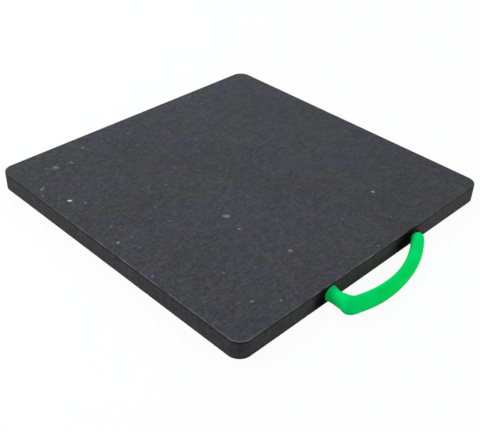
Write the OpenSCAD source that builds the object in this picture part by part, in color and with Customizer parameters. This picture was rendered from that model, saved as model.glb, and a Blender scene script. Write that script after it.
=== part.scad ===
// Square outrigger pad of recycled plastic with a hose-sleeved rope handle on one edge.
// The origin is at the middle of the underside, +Z is up and the handle is on the +X edge.

/* [Pad] */
// Width of the pad, across to the handle's edge
pad_w = 457.2; // [380:0.1:700]
// Depth of the pad, along the handle's edge
pad_d = 457.2; // [380:0.1:700]
// Thickness of the pad
pad_t = 25.4; // [25:0.1:50]
// Radius of the corners in plan
corner_r = 17; // [8:0.5:40]
// Radius of the eased edges, top and bottom
edge_r = 1; // [0.5:0.1:2.2]

/* [Rope] */
// Diameter of the rope
rope_d = 8; // [6:0.1:8.4]
// Spacing of the two rope holes in the edge
hole_spacing = 164; // [140:1:210]
// Room all round the rope in its hole
hole_clearance = 1; // [0.5:0.1:1.5]
// Chamfer at the mouth of each hole
mouth_chamfer = 1.5; // [0.5:0.1:2]
// Bend of the rope where it turns from the sleeve's open end into its hole
rope_bend_r = 13; // [10:0.5:16]

/* [Stopper knots] */
// Straight length of each hole before it breaks into its pocket
hole_length = 30; // [20:1:50]
// How far the knots stay above the underside
knot_recess = 0.8; // [0.5:0.1:2]
// Gap between a pulled knot and the wall of its pocket
knot_clearance = 0.3; // [0.2:0.05:0.6]
// Share of the rope's diameter that is left where the knot squeezes it
knot_squeeze = 0.92; // [0.85:0.01:0.94]

/* [Handle sleeve] */
// Bore of the hose
sleeve_bore = 12.4; // [11:0.1:16]
// Wall of the hose
sleeve_wall = 2.2; // [1.5:0.1:3]
// Lean of the kinked leg away from square to the edge, in degrees
leg_lean = 5.5; // [0:0.5:10]
// How far the middle line of the bow stands out from the pad's edge
handle_reach = 41.5; // [36:0.1:60]
// Radius of the bow
bow_r = 180; // [160:1:220]
// Where the bow's middle line crosses the open end's hole axis, out from the edge
bow_meet = 4; // [3:0.1:5]
// Gap between the rim of the open end and the pad's edge
end_gap = 0.3; // [0.2:0.05:0.6]
// Diameter of the foot that is pressed wide against the edge
foot_d = 18.6; // [18:0.1:22]
// Length over which the foot narrows to the hose
foot_run = 10; // [5:0.5:12]

/* [Kink] */
// Height of the flattened hose at the kink
kink_h = 25; // [20:0.1:25.8]
// Room left at each side of the rope where the kink pinches it
kink_gap = 1.2; // [0.6:0.1:1.6]
// Inside radius of the crease
crease_r = 2.2; // [1.5:0.1:4]
// How far the kink rides up
kink_rise = 1.3; // [0.5:0.1:2]
// Length of the flattening on the leg's side of the kink
kink_lead = 29; // [18:1:32]
// Length of the flattening on the bow's side of the kink
kink_run = 88; // [50:1:100]

/* [Hidden] */
$fn = 64;
eps = 0.01;

// Sizes that follow from the ones above
rope_r = rope_d / 2;
hole_r = rope_r + hole_clearance;
hole_y = hole_spacing / 2;
edge_x = pad_w / 2;
mid_z = pad_t / 2;
sleeve_r = sleeve_bore / 2 + sleeve_wall;
foot_r = foot_d / 2;

// Stopper knot: an overhand knot wound twice round its middle in three lobes, sized in rope diameters
knot_winds = 2;
knot_lobes = 3;
knot_ring = 1.35 * rope_d;
knot_swing = 0.6 * rope_d;
knot_rise = 0.65 * rope_d;
knot_tail = 29;
knot_ease = 23;
knot_drop = 30;
strand_r = rope_r * knot_squeeze;
knot_offset = knot_ring + knot_swing;
knot_r = knot_offset + strand_r;
knot_h = 2 * (knot_rise + strand_r);
knot_z = knot_recess + knot_h / 2;

// Pockets that hold the knots, milled from the underside
pocket_r = knot_r + knot_clearance;
pocket_depth = knot_recess + knot_h + knot_clearance;
pocket_y = hole_y - knot_offset;
pocket_inset = hole_length + sqrt(pow(pocket_r, 2) - pow(knot_offset, 2));
pocket_x = edge_x - pocket_inset;

// Plan of the handle, as points [along the edge, out from the edge]
kink_half_w = rope_r + sleeve_wall + kink_gap;
kink_r = kink_half_w + crease_r;
bow_out = handle_reach - bow_r;
bow_along = hole_y - sqrt(pow(bow_r, 2) - pow(bow_meet - bow_out, 2));
leg_foot = [-hole_y, 0];
leg_way = [-sin(leg_lean), cos(leg_lean)];
leg_side = [cos(leg_lean), sin(leg_lean)];
kink_offset = leg_foot + kink_r * leg_side - [bow_along, bow_out];
kink_across = kink_offset * leg_way;
leg_length = sqrt(pow(kink_across, 2) - kink_offset * kink_offset + pow(bow_r - kink_r, 2)) - kink_across;
kink_centre = leg_foot + leg_length * leg_way + kink_r * leg_side;
kink_start = 180 + leg_lean;
kink_end = atan2(kink_centre[1] - bow_out, kink_centre[0] - bow_along);
open_end = asin((end_gap - bow_out) / (bow_r - sleeve_r));
bend_along = hole_y - rope_bend_r;
bend_out = bow_out + sqrt(pow(bow_r - rope_bend_r, 2) - pow(bend_along - bow_along, 2));
bend_start = atan2(bend_out - bow_out, bend_along - bow_along);
kink_middle = leg_length + kink_r * (kink_start - kink_end) * PI / 360;

// Number of steps along each stretch, and of sides round the hose and the rope
leg_steps = 10;
kink_steps = 9;
bow_steps = 28;
bend_steps = 7;
hole_steps = 2;
pocket_steps = 3;
knot_steps = 58;
sleeve_sides = 24;
rope_sides = 10;

function on_circle(centre, r, angle) = centre + r * [cos(angle), sin(angle)];
function ease(u) = let (v = min(max(u, 0), 1)) v * v * (3 - 2 * v);
function unit(v) = v / norm(v);
function steps(n, from, to) = [for (i = [1:n]) from + (to - from) * i / n];

// Stretches of the handle's plan, from the kinked leg to the open end
leg = [for (s = concat([0], steps(leg_steps, 0, leg_length))) leg_foot + s * leg_way];
kink = [for (a = steps(kink_steps, kink_start, kink_end)) on_circle(kink_centre, kink_r, a)];
function bow(end) = [for (a = steps(bow_steps, kink_end, end)) on_circle([bow_along, bow_out], bow_r, a)];
rope_bend = [for (a = steps(bend_steps, bend_start, 0)) on_circle([bend_along, bend_out], rope_bend_r, a)];

// Lifts a plan point into the part's frame
function in_frame(p, z) = [edge_x + p[1], p[0], z];

// Length run along a list of points up to each one
function run(path, i = 0, sum = 0, out = []) = i == len(path) ? out :
  let (s = i == 0 ? 0 : sum + norm(path[i] - path[i - 1])) run(path, i + 1, s, concat(out, [s]));

// Direction of a path at each of its points
function heading(path, i) = unit(path[min(i + 1, len(path) - 1)] - path[max(i - 1, 0)]);

// One ring of a sweep: an upright ellipse of half sizes w and h, square to the path
function ring(p, dir, w, h, sides) =
  let (across = unit(cross(dir, [0, 0, 1])), above = cross(across, dir))
  [for (k = [0:sides - 1]) p + across * w * cos(360 * k / sides) + above * h * sin(360 * k / sides)];

// Skin between successive rings, as triangles that face outwards
function skin(rings, sides, first = 0) = [
  for (i = [0:rings - 2], k = [0:sides - 1], half = [0, 1])
    let (a = first + i * sides, b = a + sides, j = (k + 1) % sides)
    half == 0 ? [a + k, a + j, b + j] : [a + k, b + j, b + k]
];
function turned(faces) = [for (f = faces) [f[2], f[1], f[0]]];

// How far the hose is flattened at a length s along it: 1 at the kink, 0 clear of it
function flattening(s) =
  let (u = s < kink_middle ? (kink_middle - s) / kink_lead : (s - kink_middle) / kink_run)
  pow(cos(90 * min(u, 1)), 2);

// How far the foot is spread at a length s along the hose: 1 at the pad's edge
function spread(s) = pow(max(1 - s / foot_run, 0), 2);
function half_w(s) = sleeve_r + (foot_r - sleeve_r) * spread(s) - (sleeve_r - kink_half_w) * flattening(s);
function half_h(s) = sleeve_r + (foot_r - sleeve_r) * spread(s) + (kink_h / 2 - sleeve_r) * flattening(s);

// Middle line of the hose
sleeve_plan = concat(leg, kink, bow(open_end));
sleeve_run = run(sleeve_plan);
sleeve_path = [
  for (i = [0:len(sleeve_plan) - 1]) in_frame(sleeve_plan[i], mid_z + kink_rise * flattening(sleeve_run[i]))
];

// Heading of the hose, which stays level and leaves the edge and ends square to its own line
function sleeve_heading(i) = i == 0 ? [1, 0, 0] :
  i == len(sleeve_plan) - 1 ? [-cos(open_end), sin(open_end), 0] :
  let (d = heading(sleeve_path, i)) unit([d[0], d[1], 0]);

// Skin of the hose, drawn in from its outside by an inset
function sleeve_skin(inset) = [
  for (i = [0:len(sleeve_path) - 1])
    each ring(sleeve_path[i], sleeve_heading(i), half_w(sleeve_run[i]) - inset,
      half_h(sleeve_run[i]) - inset, sleeve_sides)
];

// Stations of the rope along the knot on the given side of the edge's middle (1 or -1).
// Each station is a point and the rope's radius there. The knot starts at the level of its hole.
function knot(side) = [
  for (a = steps(knot_steps, 0, 360 - knot_tail))
    let (
      reach = knot_ring + knot_swing * cos(knot_lobes * a),
      wave = knot_rise * sin(knot_lobes * a) * ease(a / knot_ease),
      drop = (mid_z - knot_z) * (1 - ease(a / knot_drop)),
      x = pocket_x - reach * sin(knot_winds * a),
      y = pocket_y + reach * cos(knot_winds * a)
    )
    [[x, side * y, knot_z + wave + drop], strand_r]
];

// Stations along one hole and on into its pocket, where the knot begins to squeeze the rope
hole_depths = concat([rope_d], steps(hole_steps, rope_d, hole_length));
pocket_depths = steps(pocket_steps, hole_length, pocket_inset);
function hole_run(side) = [
  for (depth = concat(hole_depths, pocket_depths))
    let (squeeze = ease((depth - hole_length) / (pocket_inset - hole_length)))
    [[edge_x - depth, side * hole_y, mid_z], rope_r + (strand_r - rope_r) * squeeze]
];
function backwards(list) = [for (i = [len(list) - 1:-1:0]) list[i]];

// Stations of the whole rope, from the knot at the kinked leg to the knot at the open end
rope_plan = concat(leg, kink, bow(bend_start), rope_bend);
rope_stations = concat(
  backwards(concat(hole_run(-1), knot(-1))),
  [for (p = rope_plan) [in_frame(p, mid_z), rope_r]],
  hole_run(1),
  knot(1)
);
rope_path = [for (station = rope_stations) station[0]];

// Half of the pad's section, from a middle line out to an eased edge at the given distance
module eased_half(w) {
  square([w - edge_r, pad_t]);
  translate([0, edge_r]) square([w, pad_t - 2 * edge_r]);
  for (z = [edge_r, pad_t - edge_r]) translate([w - edge_r, z]) circle(edge_r);
}

// A slab that runs along X, with its long edges eased
module slab(length, w) {
  rotate([90, 0, 90]) translate([0, 0, -length / 2]) linear_extrude(length) {
    eased_half(w / 2);
    mirror([1, 0]) eased_half(w / 2);
  }
}

// The solid plate: two crossing slabs and four turned corners
module plate() {
  slab(pad_w - 2 * corner_r, pad_d);
  rotate([0, 0, 90]) slab(pad_d - 2 * corner_r, pad_w);
  for (x = [0, 1], y = [0, 1]) mirror([x, 0, 0]) mirror([0, y, 0])
    translate([pad_w / 2 - corner_r, pad_d / 2 - corner_r, 0])
      rotate_extrude(angle = 90) eased_half(corner_r);
}

// A rope hole drilled in from the edge, with a chamfered mouth
module rope_hole() {
  rotate([0, -90, 0]) cylinder(r = hole_r, h = pocket_inset);
  translate([eps, 0, 0]) rotate([0, -90, 0])
    cylinder(r1 = hole_r + mouth_chamfer + eps, r2 = hole_r, h = mouth_chamfer + eps);
}

module pad() {
  color([0.14, 0.14, 0.16])
    difference() {
      plate();
      for (side = [-1, 1]) {
        translate([edge_x, side * hole_y, mid_z]) rope_hole();
        translate([pocket_x, side * pocket_y, -eps]) cylinder(r = pocket_r, h = pocket_depth + eps);
      }
    }
}

module handle_sleeve() {
  rings = len(sleeve_path);
  sides = sleeve_sides;
  inner = rings * sides;
  rims = [
    for (k = [0:sides - 1], half = [0, 1])
      let (j = (k + 1) % sides)
      half == 0 ? [k, inner + j, j] : [k, inner + k, inner + j]
  ];
  shift = (rings - 1) * sides;
  color([0.01, 0.75, 0.31])
    polyhedron(
      points = concat(sleeve_skin(0), sleeve_skin(sleeve_wall)),
      faces = concat(
        skin(rings, sides),
        turned(skin(rings, sides, inner)),
        rims,
        turned([for (f = rims) f + [shift, shift, shift]])
      )
    );
}

module handle_rope() {
  rings = len(rope_path);
  sides = rope_sides;
  color([0.09, 0.09, 0.1])
    polyhedron(
      points = [
        for (i = [0:rings - 1])
          let (r = rope_stations[i][1])
          each ring(rope_path[i], heading(rope_path, i), r, r, sides)
      ],
      faces = concat(
        skin(rings, sides),
        [[for (k = [sides - 1:-1:0]) k]],
        [[for (k = [0:sides - 1]) (rings - 1) * sides + k]]
      )
    );
}

pad();
handle_sleeve();
handle_rope();
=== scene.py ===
import math
import random

import bmesh
import bpy
from mathutils import Matrix, Vector, noise


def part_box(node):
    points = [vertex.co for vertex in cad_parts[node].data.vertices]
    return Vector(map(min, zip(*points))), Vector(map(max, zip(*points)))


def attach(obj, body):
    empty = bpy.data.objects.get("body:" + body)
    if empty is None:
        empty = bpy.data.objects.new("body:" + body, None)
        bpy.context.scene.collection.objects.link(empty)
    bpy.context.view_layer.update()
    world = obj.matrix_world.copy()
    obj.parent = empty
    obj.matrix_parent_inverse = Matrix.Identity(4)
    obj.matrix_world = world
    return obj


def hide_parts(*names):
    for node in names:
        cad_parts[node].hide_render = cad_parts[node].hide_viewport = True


# Outrigger pad with a hose-sleeved rope handle. Lengths are metres, angles degrees.
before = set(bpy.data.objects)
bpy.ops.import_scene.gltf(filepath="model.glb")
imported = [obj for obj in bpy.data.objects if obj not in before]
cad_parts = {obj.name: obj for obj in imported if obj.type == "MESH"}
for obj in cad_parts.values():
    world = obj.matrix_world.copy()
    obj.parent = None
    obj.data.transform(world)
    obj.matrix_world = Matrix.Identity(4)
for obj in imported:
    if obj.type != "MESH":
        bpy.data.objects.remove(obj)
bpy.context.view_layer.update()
scene = bpy.context.scene
scene.view_settings.view_transform = "Standard"
padLow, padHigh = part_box("pad")
print("frame loaded:", ", ".join(sorted(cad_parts)))


# Helpers for node trees
def plug(tree, value, socket):
    if isinstance(value, bpy.types.NodeSocket):
        tree.links.new(value, socket)
    else:
        socket.default_value = value


def addNode(tree, kind, inputs=None, **settings):
    made = tree.nodes.new("ShaderNode" + kind)
    for name, value in settings.items():
        setattr(made, name, value)
    for socket, value in (inputs or {}).items():
        plug(tree, value, made.inputs[socket])
    return made


def calc(tree, operation, a, b=0.0, c=0.0):
    made = addNode(tree, "Math", {0: a, 1: b, 2: c}, operation=operation)
    return made.outputs[0]


def vectorCalc(tree, operation, a, b=(0, 0, 0)):
    made = addNode(tree, "VectorMath", {0: a, 1: b}, operation=operation)
    return made.outputs["Value" if operation == "LENGTH" else "Vector"]


def remap(tree, value, fromLow, fromHigh, toLow=0.0, toHigh=1.0):
    inputs = {"Value": value, "From Min": fromLow, "From Max": fromHigh, "To Min": toLow, "To Max": toHigh}
    return addNode(tree, "MapRange", inputs, interpolation_type="SMOOTHSTEP").outputs["Result"]


def blendColour(tree, share, a, b):
    made = addNode(tree, "Mix", data_type="RGBA")
    for socket, value in zip((made.inputs[0], made.inputs[6], made.inputs[7]), (share, a, b)):
        plug(tree, value, socket)
    return made.outputs[2]


def cloud(tree, where, scale, detail=2.0, roughness=0.5, output="Fac"):
    inputs = {"Vector": where, "Scale": scale, "Detail": detail, "Roughness": roughness}
    return addNode(tree, "TexNoise", inputs).outputs[output]


# A cloud drawn out by a factor for each axis
def stretchedCloud(tree, where, stretch, detail, roughness=0.5):
    return cloud(tree, vectorCalc(tree, "MULTIPLY", where, stretch), 1.0, detail, roughness)


def shadeColour(tree, colour, shade):
    return addNode(tree, "VectorMath", {0: colour, "Scale": shade}, operation="SCALE").outputs["Vector"]


# A soft oval mark: 1 in its middle, 0 outside it
def ovalMark(tree, where, spot, size, turn, edge):
    inputs = {"Vector": where, "Location": spot, "Rotation": (0, 0, math.radians(turn)), "Scale": size}
    place = addNode(tree, "Mapping", inputs, vector_type="TEXTURE")
    return remap(tree, vectorCalc(tree, "LENGTH", place.outputs[0]), *edge)


def addBump(tree, shader, height, bump):
    inputs = {"Strength": bump["strength"], "Distance": bump["distance"], "Height": height}
    tree.links.new(addNode(tree, "Bump", inputs).outputs[0], shader.inputs["Normal"])


def startMaterial(name):
    material = bpy.data.materials.new(name)
    material.use_nodes = True
    tree = material.node_tree
    return material, tree, tree.nodes["Principled BSDF"]


def rgba(colour):
    return (*colour, 1.0)


# Camera at the photograph's angle
cameraSetup = {
    "azimuth": 44.033,
    "elevation": 35.533,
    "roll": 2.051,
    "distance": 1.0539,
    "target": (0.04066, -0.04069, 0.0),
    "lens": 60.42,
    "sensorWidth": 36.0,
}


def makeCamera(setup):
    azimuth, elevation, roll = (math.radians(setup[k]) for k in ("azimuth", "elevation", "roll"))
    level = Vector((math.cos(azimuth), math.sin(azimuth), 0))
    ahead = Vector((math.sin(azimuth), -math.cos(azimuth), 0))
    back = ahead * math.cos(elevation) + Vector((0, 0, math.sin(elevation)))
    right = Matrix.Rotation(roll, 3, back) @ level
    data = bpy.data.cameras.new("camera")
    data.lens = setup["lens"]
    data.sensor_width = setup["sensorWidth"]
    camera = bpy.data.objects.new("camera", data)
    scene.collection.objects.link(camera)
    pose = Matrix((right, back.cross(right), back)).transposed().to_4x4()
    pose.translation = Vector(setup["target"]) + back * setup["distance"]
    camera.matrix_world = pose
    scene.camera = camera


# Pale floor, white surroundings and soft lamps
stageSetup = {
    "floorSize": 4.0,
    "floorColour": (0.8, 0.8, 0.8),
    "seenColour": (1, 1, 1),
    "shadowShare": 0.07,
    "ambient": (0.185, 0.185, 0.19),
    "lamps": {
        "behind": {
            "spot": (-0.95, 0.95, 1.3), "aim": (0, 0, 0),
            "size": 1.2, "power": 13.6, "tint": (0.98, 1, 1.22),
        },
        "left": {
            "spot": (-1.0, -0.85, 0.85), "aim": (0, 0, 0),
            "size": 1.3, "power": 10.9, "tint": (0.98, 1, 1.10),
        },
        "frontLeft": {
            "spot": (-0.75, -1.2, 0.45), "aim": (-0.05, -0.2, 0),
            "size": 0.8, "power": 4.5, "tint": (1, 1, 1),
        },
        "front": {
            "spot": (0.5, -1.4, 0.55), "aim": (0.2, -0.1, 0),
            "size": 0.7, "power": 3.1, "tint": (1, 1, 0.9),
        },
        "right": {
            "spot": (1.2, 0.55, 0.42), "aim": (0.23, 0, 0),
            "size": 0.45, "power": 4.7, "tint": (1, 1, 0.88),
        },
        "above": {
            "spot": (0.35, -0.35, 1.2), "aim": (0.15, -0.15, 0),
            "size": 0.6, "power": 2.4, "tint": (1, 1, 1.05),
        },
        "lowRight": {
            "spot": (1.15, 0.8, 0.14), "aim": (0.23, 0.05, 0),
            "size": 0.24, "power": 2.2, "tint": (1, 1, 0.88),
        },
    },
}


# One where a ray from the camera, or one mirrored or bent by a surface, looks at the stage
def seenDirectly(tree):
    path = addNode(tree, "LightPath").outputs
    seen = calc(tree, "MAXIMUM", path["Is Camera Ray"], path["Is Glossy Ray"])
    return calc(tree, "MAXIMUM", seen, path["Is Transmission Ray"])


def makeStage(setup):
    world = bpy.data.worlds.new("surroundings")
    world.use_nodes = True
    scene.world = world
    tree = world.node_tree
    tree.nodes.clear()
    seenColour = rgba(setup["seenColour"])
    ambient = addNode(tree, "Background", {"Color": rgba(setup["ambient"]), "Strength": 1.0})
    white = addNode(tree, "Background", {"Color": seenColour, "Strength": 1.0})
    both = addNode(tree, "MixShader", {0: seenDirectly(tree), 1: ambient.outputs[0], 2: white.outputs[0]})
    addNode(tree, "OutputWorld", {"Surface": both.outputs[0]})

    paper = bpy.data.materials.new("floorPaper")
    paper.use_nodes = True
    tree = paper.node_tree
    tree.nodes.clear()
    seen = seenDirectly(tree)
    colour = blendColour(tree, seen, rgba(setup["floorColour"]), seenColour)
    matte = addNode(tree, "BsdfDiffuse", {"Color": colour})
    glow = addNode(tree, "Emission", {"Color": seenColour, "Strength": 1.0})
    share = calc(tree, "MULTIPLY", seen, 1 - setup["shadowShare"])
    both = addNode(tree, "MixShader", {0: share, 1: matte.outputs[0], 2: glow.outputs[0]})
    addNode(tree, "OutputMaterial", {"Surface": both.outputs[0]})

    bm = bmesh.new()
    bmesh.ops.create_grid(bm, x_segments=1, y_segments=1, size=setup["floorSize"])
    floor = finishMesh(bm, "floor", paper)

    for name, lamp in setup["lamps"].items():
        data = bpy.data.lights.new(name, "AREA")
        data.shape = "SQUARE"
        data.size = lamp["size"]
        data.energy = lamp["power"]
        data.color = lamp["tint"]
        holder = bpy.data.objects.new(name, data)
        scene.collection.objects.link(holder)
        holder.location = lamp["spot"]
        ahead = Vector(lamp["aim"]) - Vector(lamp["spot"])
        holder.rotation_euler = ahead.to_track_quat("-Z", "Y").to_euler()


def finishMesh(bm, name, material):
    mesh = bpy.data.meshes.new(name)
    bm.to_mesh(mesh)
    bm.free()
    mesh.materials.append(material)
    piece = bpy.data.objects.new(name, mesh)
    scene.collection.objects.link(piece)
    return piece


# Recycled polyethylene of the pad: mottled black with pale flecks, sawn sides and rubbed edges
padFinish = {
    "neutral": (0.0556, 0.0562, 0.0548),
    # sides darker than the top: partly their sawn finish, partly painted shade
    "sawn": (0.0398, 0.0394, 0.0430),
    "patchRoughness": 0.6,
    "patches": {
        "bluish": {"colour": (0.0532, 0.0548, 0.0678), "scale": 22.0, "detail": 4.0, "band": (0.40, 0.64)},
        "teal": {"colour": (0.0498, 0.0586, 0.0580), "scale": 41.0, "detail": 3.0, "band": (0.50, 0.78)},
        "purple": {"colour": (0.0598, 0.0540, 0.0598), "scale": 53.0, "detail": 3.0, "band": (0.50, 0.78)},
    },
    "shades": {
        "broad": {
            "scale": 9.0, "detail": 2.0, "roughness": 0.5,
            "band": (0.3, 0.7), "shade": (0.95, 1.05),
        },
        "specks": {
            "scale": 260.0, "detail": 3.0, "roughness": 0.65,
            "band": (0.32, 0.68), "shade": (0.83, 1.17),
        },
        "clumps": {
            "scale": 135.0, "detail": 4.0, "roughness": 0.75,
            "band": (0.34, 0.66), "shade": (0.89, 1.11),
        },
        "grain": {
            "scale": 620.0, "detail": 2.0, "roughness": 0.7,
            "band": (0.28, 0.72), "shade": (0.72, 1.30),
        },
    },
    "marks": {
        "planed": (520, 95, 60),
        "sawn": (700, 700, 30),
        "detail": 1.0,
        "band": (0.28, 0.72),
        "shade": (0.86, 1.14),
    },
    "wobble": {"scale": 420.0, "detail": 2.0, "roughness": 0.6, "reach": 0.002},
    "drift": {"from": (0.15, -0.35), "density": (0.40, 1.7), "lessOnSides": 0.6},
    "fleckEdge": (1.3, 0.7),
    "fleckFaintest": 0.35,
    "fleckTint": 0.10,
    "fleckColour": (0.30, 0.32, 0.33),
    "rubColour": (0.185, 0.185, 0.185),
    "rub": {
        "rim": (-1.7, -0.8),
        "face": (0.8, 0.2),
        "scale": 35.0,
        "detail": 3.0,
        "roughness": 0.6,
        "band": (0.40, 0.68),
        "share": (0.10, 0.85),
        "wornFrom": (0.04, 0.24),
        "worn": (0.15, 1.0),
    },
    # painted shade line just below the top edge
    "shadeLine": {"start": (0.8, 1.1), "stop": (3.6, 2.6), "share": 0.62},
    "specular": 0.03,
    "roughBand": (0.2, 0.8),
    "roughness": (0.50, 0.72),
    "bump": {"grain": 0.6, "marks": 0.4, "strength": 0.25, "distance": 0.0004},
    # colour of the painted shadows beside the hose's ends and of the painted shade line below the top edge
    "paintedShadeColour": (0.004, 0.005, 0.0045),
    # painted shadows on the edge beside the two ends of the hose
    "paintedShadows": [
        {"spot": (0.2286, 0.062, 0.013), "size": (0.003, 0.037, 0.028), "core": 0.25, "strength": 0.94},
        {"spot": (0.2286, -0.097, 0.012), "size": (0.003, 0.022, 0.028), "core": 0.25, "strength": 0.86},
    ],
    "pitColour": (0.022, 0.022, 0.026),
    "pits": {"cell": 0.0075, "share": 0.25, "small": 0.08, "large": 0.20, "strength": 0.50},
    "fleckLayers": [
        {"cell": 0.010, "share": 0.30, "small": 0.10, "large": 0.22, "strength": 0.10},
        {"cell": 0.0045, "share": 0.16, "small": 0.10, "large": 0.20, "strength": 0.24},
        {"cell": 0.013, "share": 0.38, "small": 0.05, "large": 0.13, "strength": 0.30},
        {"cell": 0.037, "share": 0.24, "small": 0.018, "large": 0.045, "strength": 0.24},
    ],
    "topLimit": 0.9,
    "chipEdge": (1.2, 0.5),
    "chips": [
        {"spot": (-0.105, -0.203), "size": (0.0034, 0.0021), "turn": 50, "colour": (0.60, 0.57, 0.62)},
        {"spot": (-0.088, -0.191), "size": (0.0018, 0.0015), "turn": 0, "colour": (0.16, 0.28, 0.22)},
        {"spot": (-0.183, -0.171), "size": (0.0052, 0.0036), "turn": 20, "colour": (0.15, 0.16, 0.17)},
        {"spot": (-0.179, -0.148), "size": (0.0026, 0.0015), "turn": 60, "colour": (0.22, 0.24, 0.24)},
        {"spot": (-0.202, -0.113), "size": (0.0030, 0.0018), "turn": 40, "colour": (0.16, 0.18, 0.17)},
        {"spot": (-0.150, -0.215), "size": (0.0018, 0.0012), "turn": 10, "colour": (0.38, 0.40, 0.40)},
        {"spot": (-0.152, -0.211), "size": (0.0016, 0.0012), "turn": 70, "colour": (0.28, 0.30, 0.30)},
        {"spot": (0.006, -0.212), "size": (0.0022, 0.0016), "turn": 30, "colour": (0.26, 0.29, 0.33)},
        {"spot": (0.054, -0.079), "size": (0.0058, 0.0032), "turn": 48, "colour": (0.19, 0.20, 0.20)},
        {"spot": (0.084, -0.086), "size": (0.0022, 0.0017), "turn": 35, "colour": (0.15, 0.22, 0.29)},
        {"spot": (0.117, -0.013), "size": (0.0010, 0.0010), "turn": 0, "colour": (0.12, 0.12, 0.13)},
        {"spot": (0.156, -0.072), "size": (0.0036, 0.0032), "turn": 45, "colour": (0.17, 0.17, 0.17)},
        {"spot": (0.145, 0.102), "size": (0.0024, 0.0016), "turn": 20, "colour": (0.40, 0.43, 0.42)},
        {"spot": (0.188, -0.170), "size": (0.0020, 0.0014), "turn": 45, "colour": (0.20, 0.21, 0.20)},
        {"spot": (-0.188, 0.117), "size": (0.0018, 0.0013), "turn": 30, "colour": (0.16, 0.17, 0.17)},
        {"spot": (-0.189, 0.101), "size": (0.0024, 0.0013), "turn": 30, "colour": (0.12, 0.13, 0.16)},
        {"spot": (0.014, -0.138), "size": (0.0030, 0.0014), "turn": 55, "colour": (0.13, 0.14, 0.13)},
        {"spot": (-0.051, -0.088), "size": (0.0012, 0.0012), "turn": 0, "colour": (0.20, 0.20, 0.20)},
    ],
}


# How far a point lies inside the pad's plan outline, as a negative distance
def planDistance(tree, where):
    flat = vectorCalc(tree, "MULTIPLY", where, (1, 1, 0))
    core = (padHigh.x - padForm["cornerRadius"], padHigh.y - padForm["cornerRadius"], 1)
    over = vectorCalc(tree, "SUBTRACT", vectorCalc(tree, "ABSOLUTE", flat), core)
    outside = vectorCalc(tree, "LENGTH", vectorCalc(tree, "MAXIMUM", over, (0, 0, 0)))
    parts = addNode(tree, "SeparateXYZ", {0: over}).outputs
    inside = calc(tree, "MINIMUM", calc(tree, "MAXIMUM", parts["X"], parts["Y"]), 0.0)
    return calc(tree, "SUBTRACT", calc(tree, "ADD", outside, inside), padForm["cornerRadius"])


# Scattered flecks of one size: their share of the surface and a random colour for each
def fleckLayer(tree, where, finish, layer, density):
    cells = addNode(tree, "TexVoronoi", {"Vector": where, "Scale": 1 / layer["cell"]}).outputs
    draw = addNode(tree, "SeparateColor", {0: cells["Color"]}).outputs
    shown = calc(tree, "LESS_THAN", draw["Red"], calc(tree, "MULTIPLY", density, layer["share"]))
    radius = remap(tree, draw["Green"], 0.0, 1.0, layer["small"], layer["large"])
    spot = remap(tree, calc(tree, "DIVIDE", cells["Distance"], radius), *finish["fleckEdge"])
    strength = remap(tree, draw["Blue"], 0.0, 1.0, finish["fleckFaintest"], 1.0)
    strength = calc(tree, "MULTIPLY", strength, layer["strength"])
    return calc(tree, "MULTIPLY", calc(tree, "MULTIPLY", spot, shown), strength), cells["Color"]


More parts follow.
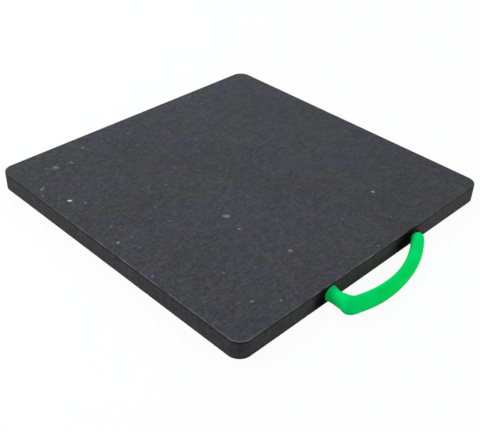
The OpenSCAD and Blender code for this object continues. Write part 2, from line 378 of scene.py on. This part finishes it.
def makePadPlastic(finish):
    material, tree, shader = startMaterial("padPlastic")
    where = addNode(tree, "TexCoord").outputs["Object"]
    axes = addNode(tree, "SeparateXYZ", {0: where}).outputs
    facing = addNode(tree, "SeparateXYZ", {0: addNode(tree, "NewGeometry").outputs["Normal"]}).outputs["Z"]
    upright = calc(tree, "SUBTRACT", 1.0, calc(tree, "ABSOLUTE", facing))

    # coloured clouds on the faces, and sides painted darker: partly their sawn finish, partly painted
    # shade
    colour = rgba(finish["neutral"])
    for patch in finish["patches"].values():
        patches = cloud(tree, where, patch["scale"], patch["detail"], finish["patchRoughness"])
        colour = blendColour(tree, remap(tree, patches, *patch["band"]), colour, rgba(patch["colour"]))
    colour = blendColour(tree, upright, colour, rgba(finish["sawn"]))
    shade = 1.0
    clouds = {}
    for name, layer in finish["shades"].items():
        clouds[name] = cloud(tree, where, layer["scale"], layer["detail"], layer["roughness"])
        shade = calc(tree, "MULTIPLY", shade, remap(tree, clouds[name], *layer["band"], *layer["shade"]))

    # planed faces have a faint grain along the board, and sawn sides have upright marks
    cut = finish["marks"]
    planed = stretchedCloud(tree, where, cut["planed"], cut["detail"])
    sawn = stretchedCloud(tree, where, cut["sawn"], cut["detail"])
    marks = addNode(tree, "Mix", {0: upright, 2: planed, 3: sawn}).outputs[0]
    shade = calc(tree, "MULTIPLY", shade, remap(tree, marks, *cut["band"], *cut["shade"]))
    colour = shadeColour(tree, colour, shade)

    # pits and flecks, thicker towards one corner of the board and thinner on its sides
    wave = finish["wobble"]
    wobble = cloud(tree, where, wave["scale"], wave["detail"], wave["roughness"], "Color")
    wobble = vectorCalc(tree, "SUBTRACT", wobble, (0.5, 0.5, 0.5))
    bent = vectorCalc(tree, "ADD", where, vectorCalc(tree, "MULTIPLY", wobble, (wave["reach"],) * 3))
    drift = finish["drift"]
    density = remap(tree, calc(tree, "ADD", axes["X"], axes["Y"]), *drift["from"], *drift["density"])
    kept = calc(tree, "SUBTRACT", 1.0, calc(tree, "MULTIPLY", upright, drift["lessOnSides"]))
    density = calc(tree, "MULTIPLY", density, kept)
    pits = fleckLayer(tree, bent, finish, finish["pits"], 1.0)[0]
    colour = blendColour(tree, pits, colour, rgba(finish["pitColour"]))
    for layer in finish["fleckLayers"]:
        spot, draw = fleckLayer(tree, bent, finish, layer, density)
        tint = blendColour(tree, finish["fleckTint"], rgba(finish["fleckColour"]), draw)
        colour = blendColour(tree, spot, colour, tint)

    # the larger chips lie where they show on the top face
    onTop = calc(tree, "GREATER_THAN", facing, finish["topLimit"])
    for chip in finish["chips"]:
        place = (*chip["spot"], padHigh.z)
        size = (*chip["size"], chip["size"][0])
        spot = ovalMark(tree, bent, place, size, chip["turn"], finish["chipEdge"])
        colour = blendColour(tree, calc(tree, "MULTIPLY", spot, onTop), colour, rgba(chip["colour"]))

    # painted shadows on the edge beside the two ends of the hose, with less sheen inside them
    outsidePaintedShadow = 1.0
    for mark in finish["paintedShadows"]:
        spot = ovalMark(tree, bent, mark["spot"], mark["size"], 0, (1.0, mark["core"]))
        spot = calc(tree, "MULTIPLY", spot, mark["strength"])
        colour = blendColour(tree, spot, colour, rgba(finish["paintedShadeColour"]))
        outsidePaintedShadow = calc(tree, "MULTIPLY", outsidePaintedShadow, calc(tree, "SUBTRACT", 1.0, spot))

    # painted shade line below the top edge, its distances in shares of the eased edge's radius
    ease = padForm["easeRadius"]
    shadeLine = finish["shadeLine"]
    below = calc(tree, "SUBTRACT", padHigh.z, axes["Z"])
    start, stop = (remap(tree, below, *(share * ease for share in shadeLine[k])) for k in ("start", "stop"))
    shadeLineMask = calc(tree, "MULTIPLY", calc(tree, "MULTIPLY", start, stop), upright)
    shadeLineMask = calc(tree, "MULTIPLY", shadeLineMask, shadeLine["share"])
    colour = blendColour(tree, shadeLineMask, colour, rgba(finish["paintedShadeColour"]))

    # rubbed line along the eased edges, worn most towards the near corner
    rub = finish["rub"]
    nearRim = remap(tree, planDistance(tree, where), *(share * ease for share in rub["rim"]))
    height = calc(tree, "ABSOLUTE", calc(tree, "SUBTRACT", axes["Z"], midZ))
    nearFace = remap(tree, height, *(midZ - share * ease for share in rub["face"]))
    line = calc(tree, "MULTIPLY", nearRim, nearFace)
    patches = cloud(tree, where, rub["scale"], rub["detail"], rub["roughness"])
    corner = calc(tree, "SUBTRACT", axes["X"], axes["Y"])
    worn = remap(tree, corner, *rub["wornFrom"], *rub["worn"])
    worn = calc(tree, "MULTIPLY", remap(tree, patches, *rub["band"], *rub["share"]), worn)
    colour = blendColour(tree, calc(tree, "MULTIPLY", line, worn), colour, rgba(finish["rubColour"]))
    tree.links.new(colour, shader.inputs["Base Color"])

    # fine unevenness
    rough = remap(tree, clouds["grain"], *finish["roughBand"], *finish["roughness"])
    tree.links.new(rough, shader.inputs["Roughness"])
    # the sheen is taken away inside the painted shadows
    plug(tree, calc(tree, "MULTIPLY", outsidePaintedShadow, finish["specular"]), shader.inputs["Specular IOR Level"])
    bump = finish["bump"]
    grainHeight = calc(tree, "MULTIPLY", clouds["grain"], bump["grain"])
    height = calc(tree, "ADD", grainHeight, calc(tree, "MULTIPLY", marks, bump["marks"]))
    addBump(tree, shader, height, bump)
    return material


# Green hose of the handle, with faint streaks along it
hoseFinish = {
    "green": (0.0003, 0.70, 0.112),
    "pale": (0.0004, 0.775, 0.186),
    "patchScale": 28.0,
    "patchBand": (0.35, 0.65),
    "streaks": (12, 90, 1),
    "streakBand": (0.3, 0.7),
    "streakShade": (0.975, 1.025),
    "grainScale": 900.0,
    "grainBand": (0.25, 0.75),
    "detail": 2.0,
    "roughness": (0.49, 0.61),
    "specular": 0.008,
    "bump": {"grain": 0.3, "strength": 0.12, "distance": 0.0003},
}


def makeHoseGreen(finish):
    material, tree, shader = startMaterial("hoseGreen")
    coords = addNode(tree, "TexCoord").outputs
    patches = cloud(tree, coords["Object"], finish["patchScale"], finish["detail"])
    patches = remap(tree, patches, *finish["patchBand"])
    colour = blendColour(tree, patches, rgba(finish["green"]), rgba(finish["pale"]))
    streaks = stretchedCloud(tree, coords["UV"], finish["streaks"], finish["detail"])
    shade = remap(tree, streaks, *finish["streakBand"], *finish["streakShade"])
    tree.links.new(shadeColour(tree, colour, shade), shader.inputs["Base Color"])
    grain = cloud(tree, coords["Object"], finish["grainScale"], finish["detail"])
    rough = remap(tree, grain, *finish["grainBand"], *finish["roughness"])
    tree.links.new(rough, shader.inputs["Roughness"])
    shader.inputs["Specular IOR Level"].default_value = finish["specular"]
    height = calc(tree, "ADD", calc(tree, "MULTIPLY", grain, finish["bump"]["grain"]), streaks)
    addBump(tree, shader, height, finish["bump"])
    return material


# Dark braided rope
ropeFinish = {
    "dark": (0.016, 0.016, 0.018),
    "light": (0.045, 0.045, 0.05),
    "fibres": (60, 14, 1),
    "fibreDetail": 2.0,
    "fibreRoughness": 0.6,
    "fibreBand": (0.3, 0.7),
    "roughness": 0.7,
    "specular": 0.3,
    "bump": {"strength": 0.5, "distance": 0.0002},
}


def makeRopeBlack(finish):
    material, tree, shader = startMaterial("ropeBlack")
    where = addNode(tree, "TexCoord").outputs["UV"]
    fibres = stretchedCloud(tree, where, finish["fibres"], finish["fibreDetail"], finish["fibreRoughness"])
    share = remap(tree, fibres, *finish["fibreBand"])
    colour = blendColour(tree, share, rgba(finish["dark"]), rgba(finish["light"]))
    tree.links.new(colour, shader.inputs["Base Color"])
    shader.inputs["Roughness"].default_value = finish["roughness"]
    shader.inputs["Specular IOR Level"].default_value = finish["specular"]
    addBump(tree, shader, fibres, finish["bump"])
    return material


# Rope, its two holes in the edge, and its two overhand knots in their pockets
ropeForm = {
    "diameter": 0.008,
    "holeSpacing": 0.164,
    "holeClearance": 0.001,
    "mouthChamfer": 0.0015,
    "bendRadius": 0.013,
    "holeLength": 0.030,
    "knotRecess": 0.0008,
    "knotClearance": 0.0003,
    "knotSqueeze": 0.92,
    "knotRing": 1.35,
    "knotSwing": 0.6,
    "knotRise": 0.65,
    "knotWinds": 2,
    "knotLobes": 3,
    "knotTail": 29,
    "knotEase": 23,
    "knotDrop": 30,
    "knotSteps": 160,
    "holeSteps": 10,
    "handleSteps": 120,
    "bendSteps": 12,
    "pitch": 0.026,
    "stepsEachPitch": 18,
    "strandsEachWay": 4,
    "strandReach": 0.70,
    "strandWeave": 0.125,
    "strandHalfWidth": 0.41,
    "strandHalfDepth": 0.155,
    "strandSides": 8,
    "coreShare": 0.58,
    "coreSides": 12,
    "tipLength": 0.0022,
    "tipSides": 20,
    "tipRings": 12,
}

# Hose that sleeves the rope: a foot pressed on the edge, a kink, a bow and a leaning open end
hoseForm = {
    "bore": 0.0122,
    "wall": 0.0022,
    "legLean": 6.9,
    "reach": 0.0414,
    "bowRadius": 0.1775,
    "bowMeet": 0.0036,
    "endGap": 0.0003,
    "footDiameter": 0.0200,
    "footRun": 0.0122,
    "footDrop": 0.0017,
    "bowDrop": 0.0006,
    "kinkHeight": 0.0243,
    "kinkGap": 0.0016,
    "creaseRadius": 0.0020,
    "kinkRise": 0.0014,
    "kinkLead": 0.028,
    "kinkHold": 0.044,
    "kinkRun": 0.125,
    "kinkMargin": 0.004,
    "riseRun": 0.045,
    "cornerReach": 0.0044,
    "cornerLead": 0.0075,
    "cornerRun": 0.0105,
    "cornerShift": -0.0020,
    "cornerPoint": 1.5,
    "rimEase": 0.0004,
    "sharpAngle": 40,
    "sides": 48,
    "step": 0.0022,
    "kinkStep": 0.0009,
}


def easeIn(u):
    u = min(max(u, 0.0), 1.0)
    return u * u * (3 - 2 * u)


# Sizes that follow from the rope's own
def ropeFit(rope):
    radius = rope["diameter"] / 2
    strand = radius * rope["knotSqueeze"]
    ring, swing, rise = (rope[k] * rope["diameter"] for k in ("knotRing", "knotSwing", "knotRise"))
    knotHeight = 2 * (rise + strand)
    pocket = ring + swing + strand + rope["knotClearance"]
    inset = rope["holeLength"] + math.sqrt(pocket ** 2 - (ring + swing) ** 2)
    return {
        "radius": radius,
        "strand": strand,
        "ring": ring,
        "swing": swing,
        "rise": rise,
        "holeRadius": radius + rope["holeClearance"],
        "holeY": rope["holeSpacing"] / 2,
        "knotZ": rope["knotRecess"] + knotHeight / 2,
        "pocketRadius": pocket,
        "pocketDepth": rope["knotRecess"] + knotHeight + rope["knotClearance"],
        "pocketX": padHigh.x - inset,
        "pocketY": rope["holeSpacing"] / 2 - ring - swing,
        "inset": inset,
    }


fit = ropeFit(ropeForm)
midZ = padHigh.z / 2


# Plan of the handle: along the edge and out from it, as a leg, a kink and a bow that meet smoothly
def handlePlan(hose):
    halfWidth = fit["radius"] + hose["wall"] + hose["kinkGap"]
    kinkRadius = halfWidth + hose["creaseRadius"]
    bowOut = hose["reach"] - hose["bowRadius"]
    bowAlong = fit["holeY"] - math.sqrt(hose["bowRadius"] ** 2 - (hose["bowMeet"] - bowOut) ** 2)
    bowCentre = Vector((bowAlong, bowOut))
    lean = math.radians(hose["legLean"])
    foot = Vector((-fit["holeY"], 0))
    legWay = Vector((-math.sin(lean), math.cos(lean)))
    legSide = Vector((math.cos(lean), math.sin(lean)))
    offset = foot + legSide * kinkRadius - bowCentre
    across = offset.dot(legWay)
    leg = math.sqrt(across ** 2 - offset.length_squared + (hose["bowRadius"] - kinkRadius) ** 2) - across
    kinkCentre = foot + legWay * leg + legSide * kinkRadius
    kinkStart = math.pi + lean
    kinkEnd = math.atan2(kinkCentre.y - bowOut, kinkCentre.x - bowAlong)
    outside = hose["bore"] / 2 + hose["wall"]
    return {
        "halfWidth": halfWidth,
        "outside": outside,
        "foot": foot,
        "legWay": legWay,
        "leg": leg,
        "kinkCentre": kinkCentre,
        "kinkRadius": kinkRadius,
        "kinkStart": kinkStart,
        "kinkEnd": kinkEnd,
        "kinkLength": kinkRadius * (kinkStart - kinkEnd),
        "bowCentre": bowCentre,
        "bowRadius": hose["bowRadius"],
        "openEnd": math.asin((hose["endGap"] - bowOut) / (hose["bowRadius"] - outside)),
    }


plan = handlePlan(hoseForm)


# Turns a point of the plan into one in the pad's frame, at half the pad's height
def inFrame(spot):
    return Vector((padHigh.x + spot[1], spot[0], midZ))


def onCircle(centre, radius, angle):
    return centre + radius * Vector((math.cos(angle), math.sin(angle)))


# Point and heading of the handle's middle line at a length from the edge
def handleAt(length):
    turned = length - plan["leg"]
    if length <= 0:
        spot, heading = plan["foot"], Vector((0, 1))  # the foot stands flat on the edge
    elif turned <= 0:
        spot, heading = plan["foot"] + plan["legWay"] * length, plan["legWay"]
    elif turned <= plan["kinkLength"]:
        angle = plan["kinkStart"] - turned / plan["kinkRadius"]
        spot = onCircle(plan["kinkCentre"], plan["kinkRadius"], angle)
        heading = Vector((math.sin(angle), -math.cos(angle)))
    else:
        angle = plan["kinkEnd"] - (turned - plan["kinkLength"]) / plan["bowRadius"]
        spot = onCircle(plan["bowCentre"], plan["bowRadius"], angle)
        heading = Vector((math.sin(angle), -math.cos(angle)))
    return inFrame(spot), Vector((heading.y, heading.x, 0))


# A smooth hump: 1 in its middle, 0 from a given distance off
def hump(distance, run):
    return math.cos(math.pi / 2 * min(abs(distance) / run, 1)) ** 2


# How far the hose is flattened, from 1 at the kink to 0 clear of it
def flattening(fromKink):
    if fromKink < 0:
        return hump(fromKink, hoseForm["kinkLead"])
    held = hoseForm["kinkHold"]
    return 1 - easeIn((fromKink - held) / (hoseForm["kinkRun"] - held))


# How far the hose lies above the rope's line: it rides up at the kink and hangs elsewhere
def lift(fromKink):
    if fromKink < 0:
        up = hump(fromKink, hoseForm["kinkLead"])
        return hoseForm["kinkRise"] * up - hoseForm["footDrop"] * (1 - up)
    bow = plan["kinkLength"] / 2 + plan["bowRadius"] * (plan["kinkEnd"] - plan["openEnd"])
    sag = hoseForm["bowDrop"] * math.sin(math.pi * min(fromKink / bow, 1)) ** 2
    return hoseForm["kinkRise"] * hump(fromKink, hoseForm["riseRun"]) - sag


# Matrix that lays a unit circle across the hose at a length along it, drawn in by an inset
def hoseFrame(length, inset):
    spot, heading = handleAt(length)
    fromKink = length - plan["leg"] - plan["kinkLength"] / 2
    flat = flattening(fromKink)
    spread = max(1 - length / hoseForm["footRun"], 0) ** 2
    full = plan["outside"] + (hoseForm["footDiameter"] / 2 - plan["outside"]) * spread - inset
    wide = full - (plan["outside"] - plan["halfWidth"]) * flat
    high = full + (hoseForm["kinkHeight"] / 2 - plan["outside"]) * flat
    spot.z += lift(fromKink)
    above = Vector((0, 0, 1))
    across = heading.cross(above)
    turn = Matrix((across * wide, above * high, heading)).transposed().to_4x4()
    turn.translation = spot
    return turn


# Sweeps a circle through a list of frames and returns its rings, each in the same order
def sweepRings(bm, frames, sides):
    circle = bmesh.ops.create_circle(bm, cap_ends=False, radius=1.0, segments=sides, matrix=frames[0])
    ring = circle["verts"]
    rings = [ring]
    for before, after in zip(frames, frames[1:]):
        made = bmesh.ops.extrude_edge_only(bm, edges=ringEdges(bm, ring))["geom"]
        fresh = {item for item in made if isinstance(item, bmesh.types.BMVert)}
        ring = [next(e.other_vert(v) for e in v.link_edges if e.other_vert(v) in fresh) for v in ring]
        bmesh.ops.transform(bm, matrix=after @ before.inverted(), verts=ring)
        rings.append(ring)
    return rings


def ringEdges(bm, ring):
    return [bm.edges.get(pair) for pair in zip(ring, ring[1:] + ring[:1])]


# Lays a map on a sweep: metres along it, and turns round it
def mapSweep(bm, rings, lengths):
    layer = bm.loops.layers.uv.new("alongAndRound")
    places = {}
    for ring, length in zip(rings, lengths):
        for side, vert in enumerate(ring):
            places[vert] = (length, side / len(ring))
    for face in bm.faces:
        turns = [places[loop.vert][1] for loop in face.loops]
        closing = max(turns) - min(turns) > 0.5  # from the last side back to the first
        for loop in face.loops:
            along, turn = places[loop.vert]
            loop[layer].uv = (along, 1.0 if closing and turn == 0 else turn)


# Draws the outer side of the kink out to its sharp corner
def pushCorner(hose, ring, length, inset):
    fromCorner = length - plan["leg"] - plan["kinkLength"] / 2 - hose["cornerShift"]
    run = hose["cornerLead"] if fromCorner < 0 else hose["cornerRun"]
    push = hose["cornerReach"] * max(1 - abs(fromCorner) / run, 0.0) ** hose["cornerPoint"]
    pose = hoseFrame(length, inset)
    across = pose.col[0].to_3d()
    for vert in ring:
        side = (vert.co - pose.translation).dot(across) / across.length_squared
        vert.co += across.normalized() * push * max(side, 0.0)


# Lengths at which the hose has a ring, closer together at the kink
def hoseLengths(hose):
    end = plan["leg"] + plan["kinkLength"] + plan["bowRadius"] * (plan["kinkEnd"] - plan["openEnd"])
    kinkStart = plan["leg"] - hose["kinkMargin"]
    kinkStop = plan["leg"] + plan["kinkLength"] + hose["kinkMargin"]
    stretches = (
        (0, kinkStart, hose["step"]),
        (kinkStart, kinkStop, hose["kinkStep"]),
        (kinkStop, end, hose["step"]),
    )
    lengths = []
    for start, stop, step in stretches:
        count = math.ceil((stop - start) / step)
        lengths += [start + (stop - start) * i / count for i in range(count)]
    return lengths + [end]


def makeHose(hose, material):
    lengths = hoseLengths(hose)
    ease, wall, end = hose["rimEase"], hose["wall"], lengths[-1]
    outside = [(s, 0) for s in lengths[:-1]] + [(end - ease, 0), (end, ease)]
    inside = [(end, wall - ease), (end - ease, wall)] + [(s, wall) for s in reversed(lengths[:-1])]
    bm = bmesh.new()
    rings = sweepRings(bm, [hoseFrame(*place) for place in outside + inside], hose["sides"])
    for ring, place in zip(rings, outside + inside):
        pushCorner(hose, ring, *place)
    bmesh.ops.bridge_loops(bm, edges=ringEdges(bm, rings[0]) + ringEdges(bm, rings[-1]))
    mapSweep(bm, rings, [length for length, inset in outside + inside])
    bmesh.ops.recalc_face_normals(bm, faces=bm.faces)
    piece = finishMesh(bm, "handle_hose", material)
    piece.data.shade_smooth()
    piece.data.set_sharp_from_angle(angle=math.radians(hose["sharpAngle"]))
    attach(piece, "root")
    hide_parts("handle_sleeve")


# Rope: its middle line runs from knot to knot, and strands plait round it in two directions
def knotLine(side):
    line = []
    count = ropeForm["knotSteps"]
    for step in range(1, count + 1):
        degrees = (360 - ropeForm["knotTail"]) * step / count
        lobe = math.radians(ropeForm["knotLobes"] * degrees)
        wind = math.radians(ropeForm["knotWinds"] * degrees)
        reach = fit["ring"] + fit["swing"] * math.cos(lobe)
        wave = fit["rise"] * math.sin(lobe) * easeIn(degrees / ropeForm["knotEase"])
        drop = (midZ - fit["knotZ"]) * (1 - easeIn(degrees / ropeForm["knotDrop"]))
        x = fit["pocketX"] - reach * math.sin(wind)
        y = fit["pocketY"] + reach * math.cos(wind)
        line.append((Vector((x, side * y, fit["knotZ"] + wave + drop)), fit["strand"]))
    return line


def holeLine(side):
    line = []
    start, stop = ropeForm["diameter"], fit["inset"]
    for step in range(ropeForm["holeSteps"] + 1):
        depth = start + (stop - start) * step / ropeForm["holeSteps"]
        squeeze = easeIn((depth - ropeForm["holeLength"]) / (stop - ropeForm["holeLength"]))
        spot = Vector((padHigh.x - depth, side * fit["holeY"], midZ))
        line.append((spot, fit["radius"] + (fit["strand"] - fit["radius"]) * squeeze))
    return line


def handleLine():
    bend = ropeForm["bendRadius"]
    centre = Vector((fit["holeY"] - bend, 0))
    over = centre.x - plan["bowCentre"].x
    centre.y = plan["bowCentre"].y + math.sqrt((plan["bowRadius"] - bend) ** 2 - over ** 2)
    start = math.atan2(centre.y - plan["bowCentre"].y, over)
    end = plan["leg"] + plan["kinkLength"] + plan["bowRadius"] * (plan["kinkEnd"] - start)
    count = ropeForm["handleSteps"]
    line = [(handleAt(end * step / count)[0], fit["radius"]) for step in range(count)]
    count = ropeForm["bendSteps"]
    for step in range(count + 1):
        spot = onCircle(centre, bend, start * (1 - step / count))
        line.append((inFrame(spot), fit["radius"]))
    return line


# Evenly spaced frames along the rope that don't twist: (length, middle, across, above, radius)
def ropeFrames(step):
    line = list(reversed(holeLine(-1) + knotLine(-1))) + handleLine() + holeLine(1) + knotLine(1)
    spans = [(b[0] - a[0]).length for a, b in zip(line, line[1:])]
    count = math.ceil(sum(spans) / step)
    even, span, passed = [], 0, 0.0
    for i in range(count + 1):
        length = sum(spans) * i / count
        while span < len(spans) - 1 and length > passed + spans[span]:
            passed += spans[span]
            span += 1
        share = min((length - passed) / spans[span], 1.0)
        (a, aRadius), (b, bRadius) = line[span], line[span + 1]
        even.append((length, a.lerp(b, share), aRadius + (bRadius - aRadius) * share))
    frames = []
    across = Vector((0, 0, 1))
    for i, (length, middle, radius) in enumerate(even):
        heading = (even[min(i + 1, count)][1] - even[max(i - 1, 0)][1]).normalized()
        across = (across - heading * across.dot(heading)).normalized()
        frames.append((length, middle, across.copy(), heading.cross(across), radius))
    return frames


# Frames of one strand, which winds round the rope and weaves over and under the ones it crosses
def strandFrames(frames, rope, number, way):
    spots = []
    for length, middle, across, above, radius in frames:
        turn = 2 * math.pi * (way * length / rope["pitch"] + number / rope["strandsEachWay"])
        weave = math.cos(2 * math.pi * length / rope["pitch"] * rope["strandsEachWay"])
        reach = radius * (rope["strandReach"] + way * rope["strandWeave"] * weave)
        outward = across * math.cos(turn) + above * math.sin(turn)
        spots.append((middle + outward * reach, outward, radius))
    placed = []
    for i, (spot, outward, radius) in enumerate(spots):
        heading = (spots[min(i + 1, len(spots) - 1)][0] - spots[max(i - 1, 0)][0]).normalized()
        outward = (outward - heading * outward.dot(heading)).normalized()
        wide = heading.cross(outward) * radius * rope["strandHalfWidth"]
        pose = Matrix((wide, outward * radius * rope["strandHalfDepth"], heading)).transposed().to_4x4()
        pose.translation = spot
        placed.append(pose)
    return placed


def coreFrames(frames, rope):
    placed = []
    for length, middle, across, above, radius in frames:
        size = radius * rope["coreShare"]
        pose = Matrix((across * size, above * size, across.cross(above))).transposed().to_4x4()
        pose.translation = middle
        placed.append(pose)
    return placed


# The rope's ends are melted to round tips
def addTip(bm, frames, rope):
    before, (_, middle, across, _, radius) = frames
    heading = (middle - before[1]).normalized()
    size = Matrix.Diagonal((radius, radius, rope["tipLength"], 1))
    pose = Matrix((across, heading.cross(across), heading)).transposed().to_4x4()
    pose.translation = middle - heading * rope["tipLength"]
    bmesh.ops.create_uvsphere(
        bm, u_segments=rope["tipSides"], v_segments=rope["tipRings"], radius=1.0, matrix=pose @ size,
    )


def makeRope(rope, material):
    frames = ropeFrames(rope["pitch"] / rope["stepsEachPitch"])
    lengths = [item[0] for item in frames]
    sweeps = [(coreFrames(frames, rope), rope["coreSides"])]
    for way in (-1, 1):
        for number in range(rope["strandsEachWay"]):
            sweeps.append((strandFrames(frames, rope, number, way), rope["strandSides"]))
    whole = bmesh.new()
    for poses, sides in sweeps:
        bm = bmesh.new()
        rings = sweepRings(bm, poses, sides)
        mapSweep(bm, rings, lengths)
        for ring in (rings[0], rings[-1]):
            bmesh.ops.edgeloop_fill(bm, edges=ringEdges(bm, ring))
        bmesh.ops.recalc_face_normals(bm, faces=bm.faces)
        part = bpy.data.meshes.new("strand")
        bm.to_mesh(part)
        bm.free()
        whole.from_mesh(part)
        bpy.data.meshes.remove(part)
    addTip(whole, (frames[1], frames[0]), rope)
    addTip(whole, (frames[-2], frames[-1]), rope)
    piece = finishMesh(whole, "handle_rope_braid", material)
    piece.data.shade_smooth()
    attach(piece, "root")
    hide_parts("handle_rope")


# The pad: a plate with rounded corners and eased edges, bored for the rope and nicked along its edges
padForm = {
    "cornerRadius": 0.017,
    "cornerSegments": 16,
    "easeRadius": 0.001,
    "easeSegments": 5,
    "levelLimit": 0.5,
    "bevelProfile": 0.5,
    "boreSegments": 48,
    "cutOver": 0.001,
    "mergeDistance": 1e-6,
    "sharpAngle": 35,
    "faceWeight": 100,
    "nickCount": 40,
    "nickSeed": 11,
    "nickSmall": 0.0005,
    "nickLarge": 0.0014,
    "nickBite": 0.55,
    "nickMargin": 1.5,
    "nickInset": 0.3,
    "nickStretch": 2.5,
    "nickRoughness": 0.25,
    "nickDivisions": 2,
}


def plateMesh(form):
    bm = bmesh.new()
    bmesh.ops.create_cube(bm, size=1.0)
    bmesh.ops.scale(bm, vec=padHigh - padLow, verts=bm.verts)
    bmesh.ops.translate(bm, vec=(padLow + padHigh) / 2, verts=bm.verts)
    upright = [e for e in bm.edges if abs(e.verts[0].co.z - e.verts[1].co.z) > midZ]
    bevelEdges(bm, upright, form["cornerRadius"], form["cornerSegments"])
    level = form["levelLimit"]
    rims = [e for e in bm.edges if {abs(f.normal.z) > level for f in e.link_faces} == {True, False}]
    bevelEdges(bm, rims, form["easeRadius"], form["easeSegments"])
    return bm


def bevelEdges(bm, edges, offset, segments):
    bmesh.ops.bevel(
        bm, geom=edges, offset=offset, offset_type="OFFSET", segments=segments,
        profile=padForm["bevelProfile"], affect="EDGES", material=-1, clamp_overlap=True,
    )


# A turned cutter: a profile of (distance along the axis, radius) spun round the axis
def turnedCutter(profile, place, segments):
    bm = bmesh.new()
    verts = [bm.verts.new((radius, 0, along)) for along, radius in profile]
    edges = [bm.edges.new(pair) for pair in zip(verts, verts[1:])]
    bmesh.ops.spin(
        bm, geom=verts + edges, cent=(0, 0, 0), axis=(0, 0, 1), angle=2 * math.pi,
        steps=segments, use_merge=True, use_duplicate=False,
    )
    bmesh.ops.remove_doubles(bm, verts=bm.verts, dist=padForm["mergeDistance"])
    bmesh.ops.recalc_face_normals(bm, faces=bm.faces)
    bmesh.ops.transform(bm, matrix=place, verts=bm.verts)
    return bm


def cutFrom(piece, cutters):
    for bm in cutters:
        mesh = bpy.data.meshes.new("cutter")
        bm.to_mesh(mesh)
        bm.free()
        cutter = bpy.data.objects.new("cutter", mesh)
        scene.collection.objects.link(cutter)
        cut = piece.modifiers.new("cut", "BOOLEAN")
        cut.object = cutter
        cut.operation = "DIFFERENCE"
        cut.solver = "EXACT"
        cut.use_self = True
        bpy.context.view_layer.update()
        shown = piece.evaluated_get(bpy.context.evaluated_depsgraph_get())
        done = bpy.data.meshes.new_from_object(shown)
        piece.modifiers.clear()
        piece.data = done
        bpy.data.objects.remove(cutter)


def ropeCutters(form):
    mouth = ropeForm["mouthChamfer"]
    hole = fit["holeRadius"]
    over = form["cutOver"]
    deep, wide, inset = fit["pocketDepth"], fit["pocketRadius"], fit["inset"]
    bore = [(-over, 0), (-over, hole + mouth + over), (mouth, hole), (inset, hole), (inset, 0)]
    pocket = [(-over, 0), (-over, wide), (deep, wide), (deep, 0)]
    inward = Matrix.Rotation(math.radians(-90), 4, "Y")
    cutters = []
    for side in (-1, 1):
        spot = Matrix.Translation((fit["pocketX"], side * fit["pocketY"], 0))
        cutters.append(turnedCutter(pocket, spot, form["boreSegments"]))
        spot = Matrix.Translation((padHigh.x, side * fit["holeY"], midZ))
        cutters.append(turnedCutter(bore, spot @ inward, form["boreSegments"]))
    return cutters


# Small dents that wear has left along the edges, cut by rough lumps
def nickCutter(form):
    draw = random.Random(form["nickSeed"])
    bm = bmesh.new()
    reach = padHigh.x - form["nickMargin"] * form["cornerRadius"]
    for _ in range(form["nickCount"]):
        radius = draw.uniform(form["nickSmall"], form["nickLarge"])
        along = draw.uniform(-reach, reach)
        z = draw.choice((padLow.z, padHigh.z, padHigh.z))  # the top edges wear more
        out = padHigh.x - form["easeRadius"] * form["nickInset"] + radius * (1 - form["nickBite"])
        edge = Matrix.Rotation(math.radians(90) * draw.randrange(4), 4, "Z")
        place = edge @ Matrix.Translation((out, along, z))
        longer = Matrix.Diagonal((1, draw.uniform(1, form["nickStretch"]), 1, 1))
        lump = bmesh.ops.create_icosphere(
            bm, subdivisions=form["nickDivisions"], radius=radius, matrix=place @ longer,
        )
        middle = place.translation
        for vert in lump["verts"]:
            rough = noise.noise(vert.co / form["nickSmall"])
            vert.co = middle + (vert.co - middle) * (1 + form["nickRoughness"] * rough)
    return bm


def makePad(form, material):
    piece = finishMesh(plateMesh(form), "pad_plate", material)
    cutFrom(piece, ropeCutters(form) + [nickCutter(form)])
    piece.data.shade_smooth()
    piece.data.set_sharp_from_angle(angle=math.radians(form["sharpAngle"]))
    weights = piece.modifiers.new("evenShading", "WEIGHTED_NORMAL")
    weights.keep_sharp = True
    weights.weight = form["faceWeight"]
    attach(piece, "root")
    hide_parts("pad")


makeCamera(cameraSetup)
makeStage(stageSetup)
print("stage set")
makePad(padForm, makePadPlastic(padFinish))
print("pad made")
makeHose(hoseForm, makeHoseGreen(hoseFinish))
print("hose made")
makeRope(ropeForm, makeRopeBlack(ropeFinish))
print("rope made")
